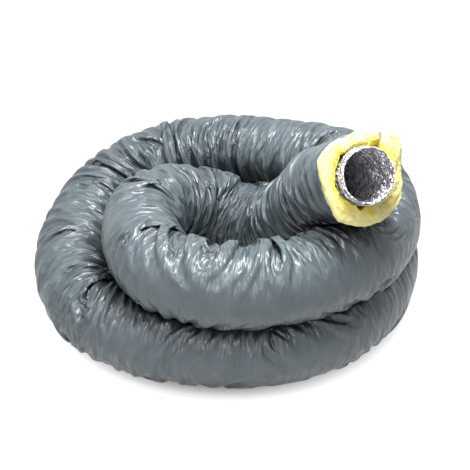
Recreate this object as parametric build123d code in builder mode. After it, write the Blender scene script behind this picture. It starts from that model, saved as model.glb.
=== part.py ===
from build123d import *
import os
from math import radians, tan

# An insulated flexible air duct, wound into two loose turns for storage, with its free end laid
# across the top turn. From the bore outwards it has a foil core of two bonded plies with a spring
# wire helix between them, a glass wool blanket, and a thin plastic sleeve over the blanket.
# Millimetres, +Z up, the coil stands on Z = 0 with the middle of its box on the Z axis.

# --- driving dimensions ---------------------------------------------------------------------------
bore_diameter = 102.0  # clear bore of the core, which goes over a 100 mm spigot
ply_thickness = 0.8  # each foil ply, drawn thicker than real foil so that it is a solid
wire_diameter = 1.4  # spring steel wire
wire_pitch = 20.0  # from one turn of the wire to the next
ply_gap = 0.6  # clearance between the wire and each ply
blanket_thickness = 14.8  # the 25 mm blanket, as the sleeve and the winding press it together
sleeve_thickness = 1.0  # the sleeve, drawn thicker than real film so that it is a solid
layer_gap = 0.5  # clearance from core to blanket and from blanket to sleeve

blanket_reach = 12.0  # how far the blanket stands out of each end of the sleeve
core_reach = 47.0  # how far the core stands out of each end of the sleeve
core_grip = 60.0  # how far the sliding end of the core reaches back into the sleeve
slide_gap = 0.5  # from the sliding end of the core to the core behind it

# --- radii of the layers, from the bore outwards --------------------------------------------------
inner_ply_radius = bore_diameter / 2 + ply_thickness
wire_coil_radius = inner_ply_radius + ply_gap + wire_diameter / 2
outer_ply_radius = wire_coil_radius + wire_diameter / 2 + ply_gap + ply_thickness
blanket_radius = outer_ply_radius + layer_gap + blanket_thickness
sleeve_radius = blanket_radius + layer_gap + sleeve_thickness
straight_end = core_grip + slide_gap + 1  # straight stretch inside each end of the sleeve

# --- the route of the duct's centre line, from the tail end to the free end -----------------------
# The points are chosen for a sleeve of drawn_radius, and they spread with the sleeve's real radius,
# so that its turns always lie on the floor and on each other.
drawn_radius = 72.0
floor_turn = drawn_radius  # height of the centre line where the duct lies on the floor
top_turn = floor_turn + 145.0  # and where it lies on the turn below
route_points = [
    (290, 194, floor_turn),  # tail end, on the floor under the top turn
    (329, 77, floor_turn),
    (327, -63, floor_turn),
    (260, -204, floor_turn),
    (137, -303, floor_turn),
    (-43, -313, floor_turn),
    (-208, -266, floor_turn),
    (-311, -133, floor_turn),
    (-336, 42, floor_turn + 3),  # starts to climb on to the first turn
    (-290, 215, floor_turn + 22),
    (-166, 324, floor_turn + 55),
    (2, 308, floor_turn + 86),
    (154, 216, floor_turn + 118),
    (268, 128, top_turn),  # the second turn
    (316, -15, top_turn),
    (302, -173, top_turn),
    (164, -292, top_turn),
    (-3, -326, top_turn),
    (-128, -270, top_turn),
    (-180, -138, floor_turn + 138),  # turns in across the coil
    (-163, 16, floor_turn + 118),
    (-73, 94, floor_turn + 74),
    (20, 94, floor_turn + 34),  # lowest point of the dip in the coil's eye
    (108, 42, floor_turn + 50),
    (148, -58, floor_turn + 148),
    (198, -156, floor_turn + 281),  # over the top turn
    (236, -251, floor_turn + 343),  # free end
]
route = [Vector(*point) * (sleeve_radius / drawn_radius) for point in route_points]


def towards(start, goal, distance):
    """The point that lies this far from start, on the way to goal."""
    return start + (goal - start).normalized() * distance


def middle(run):
    """The middle of a run; the runs are counted from 0 at the tail end."""
    return (route[run] + route[run + 1]) * 0.5


def bend_radius(corner):
    """The arc that two runs leave room for; the duct's ends stay straight where the core slides."""
    before = route[corner] - route[corner - 1]
    after = route[corner + 1] - route[corner]
    room = 0.45 * min(before.length, after.length)
    if corner == 1:
        room = min(room, before.length - straight_end)
    if corner == len(route) - 2:
        room = min(room, after.length - straight_end)
    return room / tan(radians(before.get_angle(after) / 2))


def draw_centre_line(start, corners, end):
    """Add a stretch of the route, straight or with an arc at each corner, to the open BuildLine."""
    if corners:
        points = [start] + [route[corner] for corner in corners] + [end]
        FilletPolyline(*points, radius=[bend_radius(corner) for corner in corners])
    else:
        Line(start, end)


def tube(start, corners, end, outer_radius, thickness):
    """A round tube along a stretch of the route."""
    with BuildPart() as wall:
        with BuildLine() as line:
            draw_centre_line(start, corners, end)
        with BuildSketch(Plane(origin=line.line @ 0, z_dir=line.line % 0)) as section:
            Circle(outer_radius)
            Circle(outer_radius - thickness, mode=Mode.SUBTRACT)
        sweep()
    length = line.wire().length
    share = wall.part.volume / (section.sketch.area * length)
    print(f"tube r {outer_radius:.1f}: length {length:.0f}, volume over section times length {share:.4f}")
    return wall.part


def save(part, name):
    """Label a finished piece and write it."""
    part.label = name
    export_step(part, f"parts/{name}.step")


os.makedirs("parts", exist_ok=True)
print("bend radii:", [round(bend_radius(corner)) for corner in range(1, len(route) - 1)])

# --- stretches of the duct ------------------------------------------------------------------------
# One duct, divided where a stretch moves by itself or changes shape: the bend in the coil's eye
# flexes as the free end is lifted, and the last of the core slides in and out at both ends.
tail_tip, tail_inside = route[0], route[1]
free_tip, free_inside = route[-1], route[-2]
tail_root = towards(tail_tip, tail_inside, core_grip + slide_gap)
free_root = towards(free_tip, free_inside, core_grip + slide_gap)
climb_run, bend_run, lift_run = 9, 21, 23  # the runs that the divisions lie in the middle of

turns_and_bend = [
    ("lower_turn", tail_root, range(1, climb_run + 1), middle(climb_run)),
    ("upper_turn", middle(climb_run), range(climb_run + 1, bend_run + 1), middle(bend_run)),
    ("bend", middle(bend_run), range(bend_run + 1, lift_run + 1), middle(lift_run)),
]
free_end_start = middle(lift_run)
free_end_corners = range(lift_run + 1, len(route) - 1)

# --- sleeve and blanket ---------------------------------------------------------------------------
for layer, radius, thickness, reach in (
    ("sleeve", sleeve_radius, sleeve_thickness, 0),
    ("insulation", blanket_radius, blanket_thickness, blanket_reach),
):
    tail_mouth = towards(tail_tip, tail_inside, -reach)
    free_mouth = towards(free_tip, free_inside, -reach)
    stretches = [
        ("tail_end", tail_mouth, (), tail_root),
        *turns_and_bend,
        ("free_end", free_end_start, free_end_corners, free_mouth),
    ]
    for name, start, corners, end in stretches:
        save(tube(start, corners, end, radius, thickness), f"{layer}_{name}")

# --- core between its two sliding tips ------------------------------------------------------------
# Round bends, each turn of the wire is a closed ring of square section, lighter than a bent helix.
for name, start, corners, end in [
    *turns_and_bend,
    ("free_end", free_end_start, free_end_corners, free_root),
]:
    save(tube(start, corners, end, inner_ply_radius, ply_thickness), "core_inner_ply_" + name)
    save(tube(start, corners, end, outer_ply_radius, ply_thickness), "core_outer_ply_" + name)

    with BuildLine() as line:
        draw_centre_line(start, corners, end)
    turns = int(line.wire().length / wire_pitch)
    places = [line.wire().location_at((turn + 0.5) / turns) for turn in range(turns)]
    with BuildPart() as wire:
        with Locations(*places):
            Cylinder(wire_coil_radius + wire_diameter / 2, wire_diameter)
            Cylinder(wire_coil_radius - wire_diameter / 2, wire_diameter, mode=Mode.SUBTRACT)
    save(wire.part, "core_wire_" + name)

# --- sliding tips of the core, which go over a spigot ---------------------------------------------
for name, tip, inside in (("tail_tip", tail_tip, tail_inside), ("free_tip", free_tip, free_inside)):
    root = towards(tip, inside, core_grip)
    mouth = towards(tip, inside, -core_reach)
    save(tube(root, (), mouth, inner_ply_radius, ply_thickness), "core_inner_ply_" + name)
    save(tube(root, (), mouth, outer_ply_radius, ply_thickness), "core_outer_ply_" + name)

    with BuildPart() as wire:
        with BuildLine() as helix:
            Helix(
                pitch=wire_pitch,
                height=core_grip + core_reach - 2 * wire_diameter,
                radius=wire_coil_radius,
                center=towards(root, mouth, wire_diameter),
                direction=mouth - root,
            )
        with BuildSketch(Plane(origin=helix.line @ 0, z_dir=helix.line % 0)):
            Circle(wire_diameter / 2)
        sweep(is_frenet=True)
    save(wire.part, "core_wire_" + name)
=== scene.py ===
"""Looks of an insulated flexible air duct, coiled, with its open end laid on the top turn.

The CAD frame holds the duct's stretches. This script gives it its creased film sleeve, its wool, its
foil core, its materials, lights and camera. Everything is in metres, in the frame of the CAD.
"""
import math

import bpy
import numpy as np
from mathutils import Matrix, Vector


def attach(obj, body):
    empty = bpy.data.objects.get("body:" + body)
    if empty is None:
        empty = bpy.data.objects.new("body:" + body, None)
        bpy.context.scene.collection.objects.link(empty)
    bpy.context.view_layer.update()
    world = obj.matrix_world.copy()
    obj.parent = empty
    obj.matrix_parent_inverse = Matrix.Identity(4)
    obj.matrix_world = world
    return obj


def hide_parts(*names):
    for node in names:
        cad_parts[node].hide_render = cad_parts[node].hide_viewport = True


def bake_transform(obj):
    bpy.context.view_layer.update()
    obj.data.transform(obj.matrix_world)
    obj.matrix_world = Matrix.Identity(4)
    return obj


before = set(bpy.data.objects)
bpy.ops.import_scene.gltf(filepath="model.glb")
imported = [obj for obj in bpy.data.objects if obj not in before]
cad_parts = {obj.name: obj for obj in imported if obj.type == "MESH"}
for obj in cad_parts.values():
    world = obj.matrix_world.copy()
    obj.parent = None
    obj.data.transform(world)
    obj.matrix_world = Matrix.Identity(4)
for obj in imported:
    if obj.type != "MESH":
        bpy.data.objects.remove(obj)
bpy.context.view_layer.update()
random = np.random.default_rng(7)

# --- sizes ----------------------------------------------------------------------------------------
ROUTE = [  # the centre line's points, from the tail end to the free end
    (0.290, 0.194, 0.072),
    (0.329, 0.077, 0.072),
    (0.327, -0.063, 0.072),
    (0.260, -0.204, 0.072),
    (0.137, -0.303, 0.072),
    (-0.043, -0.313, 0.072),
    (-0.208, -0.266, 0.072),
    (-0.311, -0.133, 0.072),
    (-0.336, 0.042, 0.075),
    (-0.290, 0.215, 0.094),
    (-0.166, 0.324, 0.127),
    (0.002, 0.308, 0.158),
    (0.154, 0.216, 0.190),
    (0.268, 0.128, 0.217),
    (0.316, -0.015, 0.217),
    (0.302, -0.173, 0.217),
    (0.164, -0.292, 0.217),
    (-0.003, -0.326, 0.217),
    (-0.128, -0.270, 0.217),
    (-0.180, -0.138, 0.210),
    (-0.163, 0.016, 0.190),
    (-0.073, 0.094, 0.146),
    (0.020, 0.094, 0.106),
    (0.108, 0.042, 0.122),
    (0.148, -0.058, 0.220),
    (0.198, -0.156, 0.353),
    (0.236, -0.251, 0.415),
]
CLIMB_RUN, BEND_RUN, LIFT_RUN = 9, 21, 23  # the duct is divided in the middle of these runs
SEAM_BACK = 0.085  # the pieces of the bend start this much before it, where nothing moves yet
CORE_REACH = 0.047  # how far the core stands out of the sleeve
CORE_STRETCH = 0.140  # how much of the core stretches as its end is pulled out
CORE_HELD = 0.030  # how far into the sleeve from the tail end the core's tail piece reaches

FILM_RADIUS = 0.0765  # the sleeve where it hangs slack
FILM_FREE_RADIUS = 0.0745  # the sleeve where the free end pulls it straight
FILM_END_RADIUS = 0.0727  # the sleeve at its cut ends
FILM_INNER = 0.0713  # as deep as its folds go where it is taut, which is on the blanket
FILM_PROUD = 0.0045  # how far its folds stand out there
FILM_PLENTY = 0.45  # spare length, over the length covered, that lets its folds grow to the full
FILM_DEEPER = 0.0115  # how much deeper its folds press into the blanket then
FILM_PROUDER = 0.0050  # and how much further they stand out
FILM_SLACK = 1.012  # its girth over that of a tube of FILM_RADIUS
FILM_MOST = 1.75  # the most that it is squeezed up anywhere, as length over the length covered
FILM_EVENED = 0.08  # the stretch of duct over which its length is evened out
FILM_TAPER = 0.05  # how far from its cut ends it is drawn in
FILM_EDGE = 0.10  # the stretch beside each cut end in which its folds grow to the full
FILM_BUNCHES = 0.08  # how much longer it is, at most, in patches that chance chooses
GATHER_PLENTY = 0.7  # how far towards the full a gather lets the folds grow
GATHERS = (  # where the film is bunched up: the place, how far to either side, its spare length
    ((-0.285, -0.175, 0.072), 0.085, 0.20),  # on the lower turn, where the top turn leaves it
    ((0.115, 0.020, 0.135), 0.060, 0.12),  # at the bottom of the eye
    ((0.150, -0.062, 0.228), 0.020, 0.30),  # half way up the free end
    ((0.186, -0.132, 0.318), 0.018, 0.26),  # and near its mouth
)
FLOOR_GAP = 0.0006  # the film over the floor
TURN_GAP = 0.0005  # the film from the plane half way to the next turn

# The film settles at each level in turn: ring spacing, points round it, steps, spare length over the
# length of the outside of the bend, and the folds that start it off, as (width, pieces round, height).
FILM_LEVELS = (
    (0.0068, 80, 110, 1.002, ((0.080, 3, 0.0090), (0.042, 5, 0.0060), (0.022, 7, 0.0020))),
    (0.0034, 160, 70, 1.004, ((0.013, 8, 0.0010), (0.008, 12, 0.0005))),
)
STRETCH_STIFFNESS, SHEAR_STIFFNESS, BEND_STIFFNESS, FIRM_STIFFNESS = 0.9, 0.25, 0.05, 0.10
KEPT_SPEED = 0.88  # share of its speed that the film keeps at each step
FOLD_SLANT = ((0.045, 0.23, 3), (0.010, 0.07, 6))  # how far its folds wander, length, pieces round
CREASES = ((0.034, 6, 0.0026), (0.019, 9, -0.0020), (0.011, 14, 0.0010))  # width, pieces round, size

WOOL_RADIUS = 0.0700
WOOL_DENTED = 0.0590  # inside the sleeve, where the folds press into it
WOOL_BORE = 0.0560
WOOL_MOUTH = 0.0536  # round the foil's pinched end
WOOL_TAIL_RADIUS, WOOL_TAIL_REACH = 0.0712, 0.012  # at the tail, where it isn't opened out
WOOL_LIP, WOOL_TAIL_LIP, WOOL_INNER_LIP = 0.0085, 0.004, 0.0015  # how round its cut edges are
WOOL_COUNT = 264  # points round it
WOOL_FLOOR_GAP = 0.0012  # the wool over the floor
FOIL_OUTER = 0.0553  # over a turn of the wire
FOIL_INNER = 0.0510  # under a turn of the wire
RIB_DEPTH = 0.0017  # how far the foil sinks between the turns
FOLD_DEPTH = 0.0028  # how far the bore's foil folds out, twice between turns
FOIL_CRUMPLED = 0.07  # how far from its cut edges the foil is crumpled
FOIL_PINCH = 0.0040  # how much narrower the core is towards its cut edges
FOIL_PINCHED, FOIL_PINCHING = 0.062, 0.030  # how far from them it starts, and the length it grows over
FOIL_EDGE = 0.005  # how far in from them the foil is ragged
FOIL_RAGGED = ((0.0016, 0.05, 13), (0.0010, 0.05, 37))  # height, length along, pieces round
FINE_FOIL = 0.0016, 144  # ring spacing and points round near a mouth
PLAIN_FOIL = 0.005, 48  # and between the mouths
WIRE_RADIUS, WIRE_COIL = 0.0007, 0.0531
WIRE_PITCH = 0.020
WIRE_SIDES, WIRE_STEPS = 6, 30  # points round the wire, and rings of them in one turn of it
TIP_GRIP = 0.0615  # how far inside the sleeve the core's sliding ends have their own wire

# Where the wool is out of the sleeve it is lumpy, as (height in metres, rows of points, pieces round).
WOOL_LUMPS = ((0.0026, 9, 14), (0.0014, 4, 32))
WOOL_TUFTS = ((0.0009, 1.6, 88), (0.0005, 1.1, 132))
WOOL_AHEAD = ((0.0026, 8, 12), (0.0014, 3.5, 33), (0.0008, 1.4, 90))  # along the duct

# The wool's mouth at the free end, in degrees from its right side up over the top.
WOOL_OUTLINE = (  # outer radius in millimetres
    (12, 90), (24, 101), (32, 103), (39, 98), (44, 91), (47, 82), (51, 90), (58, 92), (75, 80),
    (100, 74), (129, 83), (148, 89), (162, 83), (180, 78), (198, 79), (212, 84), (230, 94),
    (256, 90), (295, 88), (320, 90), (334, 86), (355, 82),
)
WOOL_REACH = ((0, 12), (40, 13), (47, 11), (55, 18), (130, 20), (180, 21), (240, 21), (320, 15))
WOOL_GAPS = ((130, 13, 0.008), (254, 12, 0.010), (50, 13, 0.018))  # middle, half width, depth in metres


# The camera stands in front of the duct and looks down on it, as in the photo.
CAMERA_AIM = Vector((0.007, 0.003, 0.150))
CAMERA_ELEVATION = math.radians(33)
CAMERA_DISTANCE = 2.5
CAMERA_SHIFT = 0.0085, -0.0255
SENSOR_WIDTH = 36
FOCAL_LENGTH = 1190 / 470  # over the picture's width

LIGHTS = (  # name, place, aim, size, power
    ("overhead", (0.15, -0.05, 1.85), (0, 0, 0.15), (1.0, 0.65), 58),
    ("left", (-0.8, -0.9, 1.8), (0, 0, 0.15), (0.4, 0.4), 12),
    ("front", (-0.35, -2.1, 1.35), (0.15, -0.2, 0.3), (0.5, 0.5), 11),
)
WORLD_LIGHT = 0.09  # how strongly the world lights the duct; where it is seen it is plain white
FLOOR_GLOW = 1.25
FLOOR_HALF = 6
FLOOR_DIM, FLOOR_CLEAR = 0.335, 0.400  # within the first distance it is dim, and past the second clear


# --- route ----------------------------------------------------------------------------------------
def route_line():
    """Points along the smooth line through the route."""
    curve = bpy.data.curves.new("route", "CURVE")
    curve.dimensions = "3D"
    curve.resolution_u = 24
    spline = curve.splines.new("NURBS")
    spline.points.add(len(ROUTE) - 1)
    for point, place in zip(spline.points, ROUTE):
        point.co = (*place, 1)
    spline.order_u = 3
    spline.use_endpoint_u = True
    carrier = bpy.data.objects.new("route", curve)
    mesh = bpy.data.meshes.new_from_object(carrier)
    line = np.array([v.co for v in mesh.vertices])
    bpy.data.objects.remove(carrier)
    bpy.data.curves.remove(curve)
    bpy.data.meshes.remove(mesh)
    return line


def unit(vectors):
    """The same directions at length 1."""
    return vectors / np.linalg.norm(vectors, axis=-1, keepdims=True)


class Route:
    """The centre line by distance from the tail end, with a straight lead past each end."""

    STEP = 0.002
    LEAD = 0.10

    def __init__(self):
        line = route_line()
        out = unit(line[0] - line[1]) * self.LEAD
        on = unit(line[-1] - line[-2]) * self.LEAD
        line = np.vstack([line[0] + out, line, line[-1] + on])
        reach = np.r_[0, np.cumsum(np.linalg.norm(np.diff(line, axis=0), axis=1))] - self.LEAD
        self.length = reach[-1] - self.LEAD
        self.s = np.arange(reach[0], reach[-1], self.STEP)
        self.centre = np.stack([np.interp(self.s, reach, line[:, axis]) for axis in range(3)], axis=1)
        smooth = np.ones(9) / 9
        tangent = np.gradient(self.centre, axis=0)
        padded = np.pad(tangent, ((4, 4), (0, 0)), mode="edge")
        tangent = np.stack([np.convolve(padded[:, axis], smooth, "valid") for axis in range(3)], axis=1)
        self.tangent = unit(tangent)
        normal = [unit(np.cross(self.tangent[0], (0, 0, 1)))]
        for here in self.tangent[1:]:
            last = normal[-1]
            normal.append(unit(last - here * (last @ here)))
        self.normal = np.array(normal)

    def at(self, s):
        """Centre, tangent, normal and binormal at each distance."""
        rows = [
            np.stack([np.interp(s, self.s, table[:, axis]) for axis in range(3)], axis=-1)
            for table in (self.centre, self.tangent, self.normal)
        ]
        tangent, normal = unit(rows[1]), unit(rows[2])
        return rows[0], tangent, normal, unit(np.cross(tangent, normal))

    def nearest(self, point):
        """Distance along the route of the point of it that is nearest."""
        return self.s[np.argmin(np.linalg.norm(self.centre - np.array(point), axis=1))]

    def rings(self, s, count, radius):
        """Rings of points round the line, one row for each distance in s."""
        centre, _, normal, binormal = self.at(s)
        turn = np.linspace(0, 2 * math.pi, count, endpoint=False)[:, None]
        out = normal[:, None] * np.cos(turn) + binormal[:, None] * np.sin(turn)
        radius = np.broadcast_to(radius, (len(s), count))
        return centre[:, None] + out * radius[..., None]


# --- noise ----------------------------------------------------------------------------------------
def noise(along, turn, cells):
    """Smooth random values from -1 to 1; along is in cells, and turn goes from 0 to 1 once round."""
    along = along - np.floor(along.min())
    row = np.floor(along).astype(int)
    grid = random.uniform(-1, 1, (row.max() + 2, cells))
    place = turn * cells
    column = np.floor(place).astype(int)
    f, g = along - row, place - column
    f, g = f * f * (3 - 2 * f), g * g * (3 - 2 * g)
    left, right = column % cells, (column + 1) % cells
    near = grid[row, left] * (1 - g) + grid[row, right] * g
    far = grid[row + 1, left] * (1 - g) + grid[row + 1, right] * g
    return near * (1 - f) + far * f


def layered(layers, along, turn):
    """Noise of several sizes, one over the other, from (height, length along, pieces round)."""
    return sum(height * noise(along / length, turn, pieces) for height, length, pieces in layers)


def ring_places(s, count):
    """Distance along and turn, from 0 to 1, of each point of rings at the distances s."""
    return np.meshgrid(s, np.arange(count) / count, indexing="ij")


# --- film sleeve ----------------------------------------------------------------------------------
def film_radius(route, s):
    """The slack film's radius at each distance: less on the free end, and least at the cut ends."""
    lift = route.nearest(run_middle(BEND_RUN)), route.nearest(run_middle(LIFT_RUN))
    slack = np.interp(s, lift, (FILM_RADIUS, FILM_FREE_RADIUS))
    from_end = np.minimum(s, route.length - s)
    return FILM_END_RADIUS + (slack - FILM_END_RADIUS) * np.clip(from_end / FILM_TAPER, 0, 1) ** 0.6


def contact_planes(route, s, points, reach=0.330, near=0.170):
    """For each point of a ring, the plane half way to the nearest other stretch of the duct."""
    centre = route.at(s)[0]
    samples = np.arange(0, route.length, 0.008)
    sample_centre = route.at(samples)[0]
    middle = np.zeros_like(points)
    direction = np.zeros_like(points)
    for i, (here, place) in enumerate(zip(s, centre)):
        far = np.abs(samples - here) > reach
        close = far & (np.linalg.norm(sample_centre - place, axis=1) < near)
        if not close.any():
            continue
        others = sample_centre[close]
        pick = np.argmin(np.linalg.norm(points[i][:, None] - others[None], axis=2), axis=1)
        middle[i] = (others[pick] + place) / 2
        direction[i] = unit(others[pick] - place)
    return middle, direction


def pull(a, b, rest, stiffness):
    """How far to move a, and b the other way, for the distance between them to near its rest."""
    d = b - a
    length = np.sqrt(np.einsum("...k,...k", d, d))[..., None] + 1e-9
    return d * (stiffness * 0.5 * (length - rest) / length)


def tie(x, rest, stiffness, skip=1, turn=0):
    """Pull each ring's points and those skip rings on, and turn points round, towards their rest."""
    stiffness = np.broadcast_to(stiffness, rest.shape)
    for start in range(2 * skip):
        a, b = x[start : len(x) - skip : 2 * skip], x[start + skip :: 2 * skip]
        n = min(len(a), len(b))
        ends = np.roll(b[:n], turn, axis=1) if turn else b[:n]
        rows = slice(start, start + 2 * skip * n, 2 * skip)
        shift = pull(a[:n], ends, rest[rows][:n], stiffness[rows][:n])
        a[:n] += shift
        b[:n] -= np.roll(shift, -turn, axis=1) if turn else shift


def relax(route, s, x, rest_along, rest_around, limits, steps):
    """Let the film settle over the blanket, against the floor and the other stretches."""
    count = x.shape[1]
    centre, tangent, _, _ = route.at(s)
    centre, tangent = centre[:, None], tangent[:, None]
    middle, direction = contact_planes(route, s, x)
    even, odd = np.arange(0, count, 2), np.arange(1, count, 2)
    after_odd = (odd + 1) % count
    rest_along = rest_along[..., None]
    rest_around = rest_around[..., None]
    inner, slack, outer = (np.broadcast_to(limit, x.shape[:2])[..., None] for limit in limits)
    diagonal = np.sqrt(rest_along**2 + rest_around**2)
    along, turn = ring_places(s, count)
    firm = FIRM_STIFFNESS * np.clip(noise(along / 0.09, turn, 4) + 0.3, 0, 1)[..., None]
    before = x.copy()
    for _ in range(steps):
        before, x = x, x + (x - before) * KEPT_SPEED
        tie(x, rest_along, STRETCH_STIFFNESS)
        for left, right in ((even, odd), (odd, after_odd)):
            shift = pull(x[:, left], x[:, right], rest_around, STRETCH_STIFFNESS)
            x[:, left] += shift
            x[:, right] -= shift
        tie(x, diagonal, SHEAR_STIFFNESS, turn=1)
        tie(x, diagonal, SHEAR_STIFFNESS, turn=-1)
        tie(x, 2 * rest_along, BEND_STIFFNESS, skip=2)
        tie(x, 4 * rest_along, firm, skip=4)  # in the firm patches it only folds widely
        away = x - centre
        ahead = np.einsum("...k,...k", away, np.broadcast_to(tangent, away.shape))[..., None]
        across = away - ahead * tangent
        radius = np.linalg.norm(across, axis=-1, keepdims=True)
        wanted = np.clip(radius + np.maximum(slack - radius, 0) * 0.02, inner, outer)
        x = x + across * (wanted / radius - 1)
        over = np.einsum("...k,...k", x - middle, direction)[..., None] + TURN_GAP
        x = x - direction * np.maximum(over, 0)
        x[..., 2] = np.maximum(x[..., 2], FLOOR_GAP)
        for end in (0, -1):  # the cut ends stay square to the duct
            away = x[end] - centre[end]
            x[end] -= (away @ tangent[end, 0])[:, None] * tangent[end]
    return x


def folds(s, count, width, pieces):
    """Heights from -1 to 1 of folds that run round the duct, slanted here and there."""
    along, turn = ring_places(s, count)
    slant = layered(FOLD_SLANT, along, turn)
    return noise((along + slant) / width, turn, pieces)


def refine(s, x, new_s):
    """The same film with twice as many points round it and rings at new_s."""
    fine = np.empty((len(new_s), x.shape[1], 3))
    for column in range(x.shape[1]):
        for axis in range(3):
            fine[:, column, axis] = np.interp(new_s, s, x[:, column, axis])
    doubled = np.empty((len(new_s), 2 * x.shape[1], 3))
    doubled[:, 0::2] = fine
    doubled[:, 1::2] = (fine + np.roll(fine, -1, axis=1)) / 2
    return doubled


def crumple(s, x, centre, plenty):
    """Sharp creases, too small for the film to find as it settles."""
    count = x.shape[1]
    height = np.zeros(x.shape[:2])
    for fold_width, pieces, size in CREASES:
        height += size * (0.35 - np.abs(folds(s, count, fold_width, pieces)))
    height *= 0.14 + 0.86 * plenty
    x = x + unit(x - centre[:, None]) * height[..., None]
    x[..., 2] = np.maximum(x[..., 2], FLOOR_GAP)
    return x


def film_lengths(route, s, tube, spare):
    """The film's length from each ring to the next, and how far its folds may grow, from 0 to 1."""
    rows, count = tube.shape[:2]
    gap = np.linalg.norm(np.diff(tube, axis=0), axis=2)
    gap = np.vstack([gap, gap[-1:]])
    window = int(FILM_EVENED / (s[1] - s[0])) // 2 * 2 + 1
    longest = np.pad(gap.max(axis=1), window // 2, mode="edge")
    longest = np.convolve(longest, np.ones(window) / window, "valid")[:rows, None]
    along, turn = ring_places(s, count)
    bunched = 1 + FILM_BUNCHES * np.maximum(noise(along / 0.07, turn, 4) - 0.35, 0)
    plenty = (longest / gap - 1) / FILM_PLENTY
    for place, to_side, extra in GATHERS:
        gather = np.exp(-(((along - route.nearest(place)) / to_side) ** 2))
        bunched += extra * gather
        plenty += GATHER_PLENTY * gather
    from_end = np.minimum(along, route.length - along)
    plenty = np.clip(plenty, 0, 1) * np.clip(from_end / FILM_EDGE - 0.3, 0, 1)
    return np.minimum(longest * spare * bunched, gap * FILM_MOST), plenty


def film_shape(route):
    """Rings of the sleeve, creased because it is as long as the outside of every bend."""
    s, x = None, None
    levels = FILM_LEVELS
    for spacing, count, steps, spare, seeds in levels:
        new_s = np.linspace(0, route.length, int(route.length / spacing) // 2 * 2 + 1)
        radius = film_radius(route, new_s)[:, None]
        centre = route.at(new_s)[0]
        tube = route.rings(new_s, count, radius)
        rest_along, plenty = film_lengths(route, new_s, tube, spare)
        rest_around = 2 * math.pi * radius * FILM_SLACK / count
        x = tube if x is None else refine(s, x, new_s)
        s = new_s
        out = unit(x - centre[:, None])
        for fold_width, pieces, height in seeds:
            grown = height * (0.15 + 0.85 * plenty) * folds(s, count, fold_width, pieces)
            x = x + out * grown[..., None]
        outermost = radius + FILM_PROUD + FILM_PROUDER * plenty
        limits = (FILM_INNER - FILM_DEEPER * plenty, radius, outermost)
        x = relax(route, s, x, rest_along, rest_around, limits, steps)
    return s, crumple(s, x, centre, plenty), plenty


# --- meshes ---------------------------------------------------------------------------------------
def ring_faces(rows, count, closed_rows=False):
    """Quads between rings of points."""
    here = np.arange(rows * count).reshape(rows, count)
    right = np.roll(here, -1, axis=1)
    if closed_rows:
        up, up_right = np.roll(here, -1, axis=0), np.roll(right, -1, axis=0)
        quads = np.stack([here, right, up_right, up], axis=-1)
    else:
        quads = np.stack([here[:-1], right[:-1], right[1:], here[1:]], axis=-1)
    return quads.reshape(-1, 4)


def make_mesh(name, points, faces, material, **values):
    """An object with smooth faces, and a number or a vector at each point for its material."""
    mesh = bpy.data.meshes.new(name)
    mesh.from_pydata(points.reshape(-1, 3).tolist(), [], faces.tolist())
    mesh.polygons.foreach_set("use_smooth", np.ones(len(faces), bool))
    for label, rows in values.items():
        kind, field = ("FLOAT_VECTOR", "vector") if rows.ndim == 3 else ("FLOAT", "value")
        attribute = mesh.attributes.new(label, kind, "POINT")
        attribute.data.foreach_set(field, rows.astype(np.float32).ravel())
    mesh.materials.append(material)
    mesh.update()
    piece = bpy.data.objects.new(name, mesh)
    bpy.context.scene.collection.objects.link(piece)
    return piece


def surface_places(s, count, radius):
    """Each ring point's place as distance along and a circle round, which has no seam."""
    turn = np.linspace(0, 2 * math.pi, count, endpoint=False)
    place = np.empty((len(s), count, 3))
    place[..., 0] = s[:, None]
    place[..., 1] = radius * np.cos(turn)
    place[..., 2] = radius * np.sin(turn)
    return place


# --- materials ------------------------------------------------------------------------------------
def new_material(name):
    """A material, its nodes and links, and its shader."""
    material = bpy.data.materials.new(name)
    material.use_nodes = True
    nodes, links = material.node_tree.nodes, material.node_tree.links
    return material, nodes, links, nodes["Principled BSDF"]


def stretched(nodes, links, vector, stretch, texture):
    """Give a texture node so many cells in a metre each way."""
    spread = nodes.new("ShaderNodeMapping")
    spread.inputs["Scale"].default_value = stretch
    texture.inputs["Scale"].default_value = 1.0
    links.new(vector, spread.inputs["Vector"])
    links.new(spread.outputs["Vector"], texture.inputs["Vector"])


def stretched_noise(nodes, links, vector, stretch, detail, kind="FBM"):
    """A noise texture with so many cells in a metre each way."""
    grain = nodes.new("ShaderNodeTexNoise")
    grain.noise_type = kind
    grain.inputs["Detail"].default_value = detail
    stretched(nodes, links, vector, stretch, grain)
    return grain.outputs["Fac"]


def colour_ramp(nodes, links, value, stops):
    """Colours at (position, colour) stops of a value."""
    ramp = nodes.new("ShaderNodeValToRGB")
    for element, (position, colour) in zip(ramp.color_ramp.elements, stops):
        element.position = position
        element.color = (*colour, 1)
    links.new(value, ramp.inputs["Fac"])
    return ramp.outputs["Color"]


def scaled(nodes, links, value, low, high):
    """A value from 0 to 1 turned into one from low to high."""
    scale = nodes.new("ShaderNodeMapRange")
    scale.inputs["To Min"].default_value = low
    scale.inputs["To Max"].default_value = high
    links.new(value, scale.inputs["Value"])
    return scale.outputs["Result"]


def point_value(nodes, label):
    """The attribute node of a number or a vector that make_mesh gave each point."""
    place = nodes.new("ShaderNodeAttribute")
    place.attribute_name = label
    return place


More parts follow.
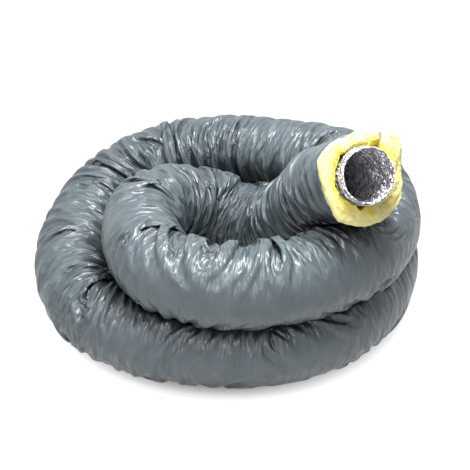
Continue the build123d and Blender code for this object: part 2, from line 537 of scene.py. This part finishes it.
def add_bumps(nodes, links, shader, heights, amount=None):
    """Bump from (height, distance in metres, strength) layers, one over the other."""
    normal = None
    for height, distance, strength in heights:
        bump = nodes.new("ShaderNodeBump")
        if amount:
            links.new(scaled(nodes, links, amount, 0.35 * strength, strength), bump.inputs["Strength"])
        else:
            bump.inputs["Strength"].default_value = strength
        bump.inputs["Distance"].default_value = distance
        links.new(height, bump.inputs["Height"])
        if normal:
            links.new(normal, bump.inputs["Normal"])
        normal = bump.outputs["Normal"]
    links.new(normal, shader.inputs["Normal"])


def painted_crease_shade(nodes, links, tint, distance):
    """The tint with painted shade: darker where the surface faces another nearer than the distance in
    metres, and a little lighter in the open.
    """
    open_air = nodes.new("ShaderNodeAmbientOcclusion")
    open_air.inputs["Distance"].default_value = distance
    open_air.samples = 6
    sharper = nodes.new("ShaderNodeMath")
    sharper.operation = "POWER"
    sharper.inputs[1].default_value = 1.6
    links.new(open_air.outputs["AO"], sharper.inputs[0])
    shaded = nodes.new("ShaderNodeVectorMath")
    shaded.operation = "SCALE"
    links.new(tint, shaded.inputs[0])
    links.new(scaled(nodes, links, sharper.outputs[0], 0.05, 1.12), shaded.inputs["Scale"])
    return shaded.outputs["Vector"]


def film_material():
    """Thin grey polythene: glossy, with fine sharp creases that run round the duct, and painted shade
    darkening its colour in the creases and between the turns.
    """
    material, nodes, links, shader = new_material("grey_film")
    shader.inputs["Specular IOR Level"].default_value = 0.55
    vector = point_value(nodes, "surface").outputs["Vector"]
    slack = point_value(nodes, "slack").outputs["Fac"]
    fine = stretched_noise(nodes, links, vector, (240, 30, 30), 3, "RIDGED_MULTIFRACTAL")
    facets = nodes.new("ShaderNodeTexVoronoi")
    stretched(nodes, links, vector, (95, 28, 28), facets)
    dull = stretched_noise(nodes, links, vector, (30, 30, 30), 2)
    heights = ((facets.outputs["Distance"], 0.0100, 0.95), (fine, 0.0046, 1.0))
    add_bumps(nodes, links, shader, heights, slack)
    stops = ((0.3, (0.083, 0.107, 0.121)), (0.7, (0.107, 0.133, 0.149)))
    tint = colour_ramp(nodes, links, dull, stops)
    # painted shade: the film's colour is darkened where it faces other film close by
    links.new(painted_crease_shade(nodes, links, tint, 0.065), shader.inputs["Base Color"])
    links.new(scaled(nodes, links, dull, 0.22, 0.42), shader.inputs["Roughness"])
    return material


def wool_material():
    """Pale yellow glass wool, with painted shade: deeper yellow between its tufts and towards the core.
    """
    material, nodes, links, shader = new_material("glass_wool")
    shader.inputs["Roughness"].default_value = 0.95
    shader.inputs["Specular IOR Level"].default_value = 0.1
    shader.inputs["Sheen Weight"].default_value = 0.1
    where = nodes.new("ShaderNodeTexCoord").outputs["Object"]
    clumps = stretched_noise(nodes, links, where, (60, 60, 60), 5)
    fibres = stretched_noise(nodes, links, where, (420, 420, 420), 4)
    # painted shade: pale on the outside, deeper yellow towards the bore and where the clump noise is
    # low, between the tufts
    shade_paleness = nodes.new("ShaderNodeMath")
    shade_paleness.operation = "MULTIPLY_ADD"
    shade_paleness.inputs[1].default_value = 0.5
    links.new(point_value(nodes, "outward").outputs["Fac"], shade_paleness.inputs[0])
    links.new(clumps, shade_paleness.inputs[2])
    stops = ((0.45, (0.92, 0.74, 0.06)), (1.0, (0.93, 0.86, 0.40)))
    tint = colour_ramp(nodes, links, shade_paleness.outputs[0], stops)
    links.new(tint, shader.inputs["Base Color"])
    add_bumps(nodes, links, shader, ((clumps, 0.005, 0.6), (fibres, 0.002, 0.8)))
    return material


def foil_material():
    """Metallised plastic foil, bright and crumpled, with painted reflections as a light and dark mottle
    in its colour, and painted shade in its folds.
    """
    material, nodes, links, shader = new_material("core_foil")
    shader.inputs["Metallic"].default_value = 0.8
    where = nodes.new("ShaderNodeTexCoord").outputs["Object"]
    dents = nodes.new("ShaderNodeTexVoronoi")
    dents.inputs["Scale"].default_value = 190
    links.new(where, dents.inputs["Vector"])
    # painted reflection: this light and dark mottle of the tint stands in for the crumpled foil's
    # reflections; it also varies the roughness
    reflection_mottle = stretched_noise(nodes, links, where, (90, 90, 90), 4)
    stops = ((0.38, (0.46, 0.45, 0.49)), (0.58, (0.88, 0.87, 0.91)))
    tint = colour_ramp(nodes, links, reflection_mottle, stops)
    # painted shade: the foil's colour is darkened in its folds and between its ribs
    links.new(painted_crease_shade(nodes, links, tint, 0.010), shader.inputs["Base Color"])
    links.new(scaled(nodes, links, reflection_mottle, 0.16, 0.40), shader.inputs["Roughness"])
    amount = point_value(nodes, "crumpled").outputs["Fac"]
    add_bumps(nodes, links, shader, ((dents.outputs["Distance"], 0.0045, 1.0),), amount)
    return material


def wire_material():
    """Bright drawn spring steel."""
    material, nodes, links, shader = new_material("spring_wire")
    shader.inputs["Metallic"].default_value = 1.0
    shader.inputs["Roughness"].default_value = 0.35
    where = nodes.new("ShaderNodeTexCoord").outputs["Object"]
    drawn = stretched_noise(nodes, links, where, (700, 700, 700), 2)
    stops = ((0.3, (0.44, 0.44, 0.45)), (0.7, (0.60, 0.60, 0.61)))
    tint = colour_ramp(nodes, links, drawn, stops)
    links.new(tint, shader.inputs["Base Color"])
    add_bumps(nodes, links, shader, ((drawn, 0.0004, 0.2),))
    return material


# --- camera and stage -----------------------------------------------------------------------------
def add_camera():
    """The camera of the photo."""
    away = Vector((0, -math.cos(CAMERA_ELEVATION), math.sin(CAMERA_ELEVATION)))
    camera = bpy.data.cameras.new("camera")
    camera.sensor_width = SENSOR_WIDTH
    camera.lens = SENSOR_WIDTH * FOCAL_LENGTH
    camera.shift_x, camera.shift_y = CAMERA_SHIFT
    holder = bpy.data.objects.new("camera", camera)
    bpy.context.scene.collection.objects.link(holder)
    holder.location = CAMERA_AIM + away * CAMERA_DISTANCE
    holder.rotation_euler = (math.radians(90) - CAMERA_ELEVATION, 0, 0)
    bpy.context.scene.camera = holder


def add_area_light(name, place, aim, size, power):
    """A soft rectangular light that faces its aim."""
    light = bpy.data.lights.new(name, "AREA")
    light.shape = "RECTANGLE"
    light.size, light.size_y = size
    light.energy = power
    holder = bpy.data.objects.new(name, light)
    holder.location = place
    holder.rotation_euler = (Vector(aim) - Vector(place)).to_track_quat("-Z", "Y").to_euler()
    bpy.context.scene.collection.objects.link(holder)


def white_rays(nodes, links):
    """1 for the rays that see the background, from the camera, in a mirror or through glass, else 0."""
    ray = nodes.new("ShaderNodeLightPath")
    total = ray.outputs["Is Camera Ray"]
    for kind in ("Is Glossy Ray", "Is Transmission Ray"):
        either = nodes.new("ShaderNodeMath")
        either.operation = "MAXIMUM"
        links.new(total, either.inputs[0])
        links.new(ray.outputs[kind], either.inputs[1])
        total = either.outputs[0]
    return total


def add_floor():
    """A pale floor that looks white, apart from the duct's soft shadow."""
    material, nodes, links, shader = new_material("floor")
    shader.inputs["Base Color"].default_value = (0.66, 0.66, 0.66, 1)
    shader.inputs["Roughness"].default_value = 0.9
    shader.inputs["Specular IOR Level"].default_value = 0.1
    glow = nodes.new("ShaderNodeEmission")
    glow.inputs["Strength"].default_value = FLOOR_GLOW
    distance = nodes.new("ShaderNodeVectorMath")
    distance.operation = "LENGTH"
    links.new(nodes.new("ShaderNodeNewGeometry").outputs["Position"], distance.inputs[0])
    clear = nodes.new("ShaderNodeMapRange")  # under the duct the floor keeps its own shade
    clear.inputs["From Min"].default_value = FLOOR_DIM
    clear.inputs["From Max"].default_value = FLOOR_CLEAR
    clear.inputs["To Max"].default_value = 0.92
    links.new(distance.outputs["Value"], clear.inputs["Value"])
    share = nodes.new("ShaderNodeMath")
    share.operation = "MULTIPLY"
    links.new(white_rays(nodes, links), share.inputs[0])
    links.new(clear.outputs["Result"], share.inputs[1])
    both = nodes.new("ShaderNodeMixShader")
    links.new(share.outputs[0], both.inputs["Fac"])
    links.new(shader.outputs[0], both.inputs[1])
    links.new(glow.outputs[0], both.inputs[2])
    links.new(both.outputs[0], nodes["Material Output"].inputs["Surface"])
    corners = FLOOR_HALF * np.array([(-1, -1, 0), (1, -1, 0), (1, 1, 0), (-1, 1, 0)], float)
    make_mesh("floor", corners, np.array([(0, 1, 2, 3)]), material)


def add_world():
    """Even white light, and plain white where the world itself is seen."""
    world = bpy.data.worlds.new("studio")
    bpy.context.scene.world = world
    world.use_nodes = True
    nodes, links = world.node_tree.nodes, world.node_tree.links
    level = nodes.new("ShaderNodeMapRange")
    level.inputs["To Min"].default_value = WORLD_LIGHT
    level.inputs["To Max"].default_value = 1.0
    links.new(white_rays(nodes, links), level.inputs["Value"])
    background = nodes["Background"]
    background.inputs["Color"].default_value = (1, 1, 1, 1)
    links.new(level.outputs["Result"], background.inputs["Strength"])


def light_studio():
    """A white room, lit from above, with a little from the left and the front."""
    bpy.context.scene.view_settings.view_transform = "Standard"
    add_world()
    add_floor()
    for light in LIGHTS:
        add_area_light(*light)


# --- pieces ---------------------------------------------------------------------------------------
def run_middle(run):
    """The middle of a run of the route; the runs are counted from 0 at the tail end."""
    return (Vector(ROUTE[run]) + Vector(ROUTE[run + 1])) / 2


def bend_seam(route):
    """Where the pieces of the coil end and those of the bend start."""
    return route.nearest(run_middle(BEND_RUN)) - SEAM_BACK


def add_sleeve(route, material):
    """The film, as the two turns, which ride with the coil, and the stretch from the bend to the free
    end.
    """
    s, x, plenty = film_shape(route)
    count = x.shape[1]
    places = surface_places(s, count, FILM_RADIUS)
    climb = int(np.searchsorted(s, route.nearest(run_middle(CLIMB_RUN))))
    bend = int(np.searchsorted(s, bend_seam(route)))
    parts = (  # the last number gives the layers of each piece: two for the long tubes, as if pressed flat
        ("sleeve_lower", slice(0, climb + 1), 2),
        ("sleeve_upper", slice(climb, bend + 1), 2),
        ("sleeve_free", slice(bend, len(s)), 1),
    )
    made = []
    for name, rows, layers in parts:
        faces = ring_faces(len(s[rows]), count)
        piece = make_mesh(name, x[rows], faces, material, surface=places[rows], slack=plenty[rows])
        made.append(piece)
    lower, upper, free = made
    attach(lower, "coil")
    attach(upper, "coil")
    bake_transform(free)
    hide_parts("sleeve_tail_end", "sleeve_lower_turn")
    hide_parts("sleeve_upper_turn")
    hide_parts("sleeve_bend", "sleeve_free_end")


def wall(route, outer_s, outer_radius, inner_s, inner_radius):
    """Rings of a closed tube: out along outer_s, then back along inner_s; radii are per point."""
    outer = route.rings(outer_s, outer_radius.shape[1], outer_radius)
    inner = route.rings(inner_s, inner_radius.shape[1], inner_radius)
    return np.concatenate([outer, inner])


def wrinkles(along, turn, size, cells):
    """Heights of sharp ridges of this size along the duct, with ridges half as large over them."""
    large = np.abs(noise(along / size, turn, cells))
    return large + 0.6 * np.abs(noise(along / (size / 2), turn, 2 * cells))


def add_core(route, material):
    """The foil, folded between the turns of the wire, from the tail's mouth to the free mouth."""
    bend, lift = bend_seam(route), route.nearest(run_middle(LIFT_RUN))
    parts = (
        ("core_tail", -CORE_REACH, CORE_STRETCH, FINE_FOIL, ("tail_tip",)),
        ("core_coil", CORE_STRETCH, bend, PLAIN_FOIL, ("lower_turn", "upper_turn")),
        ("core_bend", bend, lift, PLAIN_FOIL, ("bend",)),
        ("core_free", lift, route.length + CORE_REACH, FINE_FOIL, ("free_end", "free_tip")),
    )
    made = {}
    for name, first, last, grid, stands_for in parts:
        spacing, count = grid
        s = np.linspace(first, last, int((last - first) / spacing) + 1)
        along, turn = ring_places(s, count)
        from_mouth = np.minimum(along + CORE_REACH, route.length + CORE_REACH - along)
        phase = along / WIRE_PITCH + turn
        sunk = 0.5 - 0.5 * np.cos(2 * math.pi * phase)
        folded = 0.5 - 0.5 * np.cos(4 * math.pi * phase)
        outer = FOIL_OUTER - RIB_DEPTH * sunk  # a rib over each turn of the wire
        inner = FOIL_INNER + FOLD_DEPTH * folded
        if grid is FINE_FOIL:  # near a mouth the foil is crumpled, most of all at its cut edge
            near = np.clip(1 - from_mouth / FOIL_CRUMPLED, 0, 1)
            outer = outer + (0.0005 + 0.0024 * near) * (wrinkles(along, turn, 0.011, 24) - 0.75)
            inner = inner + (0.0003 + 0.0020 * near) * (wrinkles(along, turn, 0.009, 26) - 0.35)
            pinch = FOIL_PINCH * np.clip((FOIL_PINCHED - from_mouth) / FOIL_PINCHING, 0, 1)
            edge = np.exp(-from_mouth / FOIL_EDGE)
            ragged = layered(FOIL_RAGGED, along, turn)
            outer = outer - pinch - edge * (0.0004 - ragged)
            inner = inner - pinch * 0.7 + edge * (0.0002 + ragged)
        rings = wall(route, s, outer, s[::-1], inner[::-1])
        crumpled = np.clip(1.2 - from_mouth / 0.11, 0, 1)
        crumpled = np.concatenate([crumpled, crumpled[::-1]])
        faces = ring_faces(len(rings), count, closed_rows=True)
        piece = make_mesh(name, rings, faces, material, crumpled=crumpled)
        for stretch in stands_for:
            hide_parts(f"core_inner_ply_{stretch}", f"core_outer_ply_{stretch}")
        made[name] = piece
    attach(made["core_coil"], "coil")
    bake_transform(made["core_bend"])
    for name, body, tip, inside, held in (
        ("core_tail", "coil", "tail_tip", CORE_STRETCH, CORE_HELD),
        ("core_free", "free_end", "free_tip", route.length - CORE_STRETCH, route.length - CORE_HELD),
    ):
        start, end = (Vector(route.at(np.array([place]))[0][0]) for place in (inside, held))
        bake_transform(made[name])


def add_wire(route, material):
    """The spring wire between the plies, from one straight tip's own wire to the other's."""
    bend, lift = bend_seam(route), route.nearest(run_middle(LIFT_RUN))
    for name, first, last, stands_for in (
        ("wire_coil", TIP_GRIP, bend, ("lower_turn", "upper_turn")),
        ("wire_bend", bend, lift, ("bend",)),
        ("wire_free_end", lift, route.length - TIP_GRIP, ("free_end",)),
    ):
        s = np.linspace(first, last, int((last - first) / WIRE_PITCH * WIRE_STEPS))
        centre, _, normal, binormal = route.at(s)
        angle = (2 * math.pi * s / WIRE_PITCH)[:, None]
        out = normal * np.cos(angle) + binormal * np.sin(angle)
        line = centre + out * WIRE_COIL
        ahead = unit(np.gradient(line, axis=0))
        side = unit(np.cross(ahead, out))
        turn = np.linspace(0, 2 * math.pi, WIRE_SIDES, endpoint=False)[:, None]
        away = out[:, None] * np.cos(turn) + side[:, None] * np.sin(turn)
        rings = line[:, None] + WIRE_RADIUS * away
        piece = make_mesh(name, rings, ring_faces(len(rings), WIRE_SIDES), material)
        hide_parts(*(f"core_wire_{stretch}" for stretch in stands_for))
        if name == "wire_bend":
            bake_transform(piece)
        else:
            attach(piece, "coil" if name == "wire_coil" else "free_end")


def mouth_turn(route, count):
    """Angle in degrees of each ring point at the free mouth, from +X side up over the top."""
    _, tangent, normal, binormal = (rows[0] for rows in route.at(np.array([route.length])))
    turn = np.linspace(0, 2 * math.pi, count, endpoint=False)[:, None]
    out = normal * np.cos(turn) + binormal * np.sin(turn)
    right = unit(np.cross((0, 0, 1), tangent))
    top = np.cross(tangent, right)
    return np.degrees(np.arctan2(out @ top, out @ right)) % 360


def around(angle, points):
    """A smooth outline round the mouth through (degrees, value) points."""
    at, value = (np.array(row, float) for row in zip(*points))
    at = np.r_[at[-1] - 360, at, at[0] + 360]
    value = np.r_[value[-1], value, value[0]]
    return np.interp(angle, at, value)


def hump(angle, middle, half_width):
    """1 at an angle, falling to 0 half_width away on each side."""
    away = np.abs((angle - middle + 180) % 360 - 180) / half_width
    return np.clip(1 - away, 0, 1) ** 1.3


def wool_profile(angle, free):
    """Outer radius, bore radius and reach of the opened wool, round its mouth."""
    if not free:
        return [np.full_like(angle, size) for size in (WOOL_TAIL_RADIUS, WOOL_BORE, WOOL_TAIL_REACH)]
    outer = around(angle, WOOL_OUTLINE) / 1000
    bore = WOOL_MOUTH + sum(deep * hump(angle, middle, wide) for middle, wide, deep in WOOL_GAPS)
    reach = around(angle, WOOL_REACH) / 1000
    return outer, bore, reach


def add_wool(route, material):
    """The blanket, open and flared where it stands out of the sleeve at the free end."""
    bend = bend_seam(route)
    for name, last, free in (("wool_coil", 0.0, False), ("wool_free", route.length, True)):
        rows_s, rows_r, outward = wool_rows(route, bend, last, free)
        points = np.empty((*rows_s.shape, 3))
        for column in range(WOOL_COUNT):
            centre, _, normal, binormal = route.at(rows_s[:, column])
            turn = 2 * math.pi * column / WOOL_COUNT
            out = normal * math.cos(turn) + binormal * math.sin(turn)
            points[:, column] = centre + out * rows_r[:, column][:, None]
        points = tousle(route, points, rows_s)
        points[..., 2] = np.maximum(points[..., 2], WOOL_FLOOR_GAP)
        faces = ring_faces(len(points), WOOL_COUNT, closed_rows=True)
        piece = make_mesh(name, points, faces, material, outward=outward)
        if free:
            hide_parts("insulation_bend", "insulation_free_end")
            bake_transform(piece)
        else:
            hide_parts("insulation_tail_end", "insulation_lower_turn", "insulation_upper_turn")
            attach(piece, "coil")


def wool_rows(route, first, last, free):
    """Distance, radius and how far outward each point of the blanket's rings is, out and back in; how
    far outward sets the wool's painted shade, deeper yellow inward.
    """
    way = 1 if free else -1
    length = abs(last - first)
    inside = np.r_[np.arange(0, length - 0.07, 0.010), np.linspace(length - 0.07, length, 36)[:-1]]
    outer, bore, reach = wool_profile(mouth_turn(route, WOOL_COUNT), free)
    rows = []
    dented = np.interp(length - inside, (0.020, 0.060), (WOOL_RADIUS, WOOL_DENTED))
    for here, radius in zip(first + way * inside, dented):
        rows.append((here, radius, 1))
    for step in np.linspace(0, 1, 8)[1:]:  # the flare, from the sleeve's edge to the outline
        swell = 0.25 + 0.75 * math.sin(step * math.pi / 2)
        rows.append((last + way * reach * 0.6 * step, WOOL_RADIUS + (outer - WOOL_RADIUS) * swell, 1))
    lip = WOOL_LIP if free else WOOL_TAIL_LIP
    for turn in np.linspace(0, math.pi / 2, 8)[1:]:  # the rounded outer edge
        height = reach * (0.6 + 0.4 * math.sin(turn))
        rows.append((last + way * height, outer - lip * (1 - math.cos(turn)), 1))
    for step in np.linspace(0, 1, 14)[1:]:  # the face
        height = reach + 0.003 * math.sin(step * math.pi)
        radius = (outer - lip) * (1 - step) + (bore + WOOL_INNER_LIP) * step
        rows.append((last + way * height, radius, 1 - step))
    for turn in np.linspace(0, math.pi / 2, 5)[1:]:  # the rounded inner edge
        height = reach - 0.002 * (1 - math.cos(turn))
        rows.append((last + way * height, bore + WOOL_INNER_LIP * (1 - math.sin(turn)), 0))
    for step in np.linspace(0, 1, 12)[1:]:  # the gaps close up inside
        height = reach - 0.002 - 0.035 * step
        rows.append((last + way * height, bore + (WOOL_BORE - bore) * step, 0))
    for here in (first + way * inside)[inside < length - 0.05][::-1]:
        rows.append((here, WOOL_BORE, 0))
    return (
        np.array([np.broadcast_to(row[part], WOOL_COUNT) for row in rows], float) for part in range(3)
    )


def tousle(route, points, rows_s):
    """Lumps and tufts where the wool is out of the sleeve, at either end of the duct."""
    rows, count = rows_s.shape
    row, turn = ring_places(np.arange(rows), count)
    centre, tangent, _, _ = route.at(rows_s.ravel())
    out = unit(points - centre.reshape(rows, count, 3))
    bare = np.clip(np.maximum(rows_s - route.length, -rows_s) / 0.004, 0, 1)[..., None]
    lumps, tufts, ahead = (
        layered(layers, row, turn)[..., None] for layers in (WOOL_LUMPS, WOOL_TUFTS, WOOL_AHEAD)
    )
    tangent = tangent.reshape(rows, count, 3)
    return points + bare * (out * (lumps + tufts) + tangent * ahead)


def paint_cad(materials):
    """Give each CAD node that still shows the material of its layer."""
    for name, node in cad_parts.items():
        for layer, material in materials.items():
            if name.startswith(layer):
                node.data.materials.clear()
                node.data.materials.append(material)


add_camera()
light_studio()
duct = Route()
film, wool, foil, wire = film_material(), wool_material(), foil_material(), wire_material()
paint_cad(
    {
        "sleeve": film,
        "insulation": wool,
        "core_inner": foil,
        "core_outer": foil,
        "core_wire": wire,
    }
)
add_sleeve(duct, film)
add_wool(duct, wool)
add_core(duct, foil)
add_wire(duct, wire)
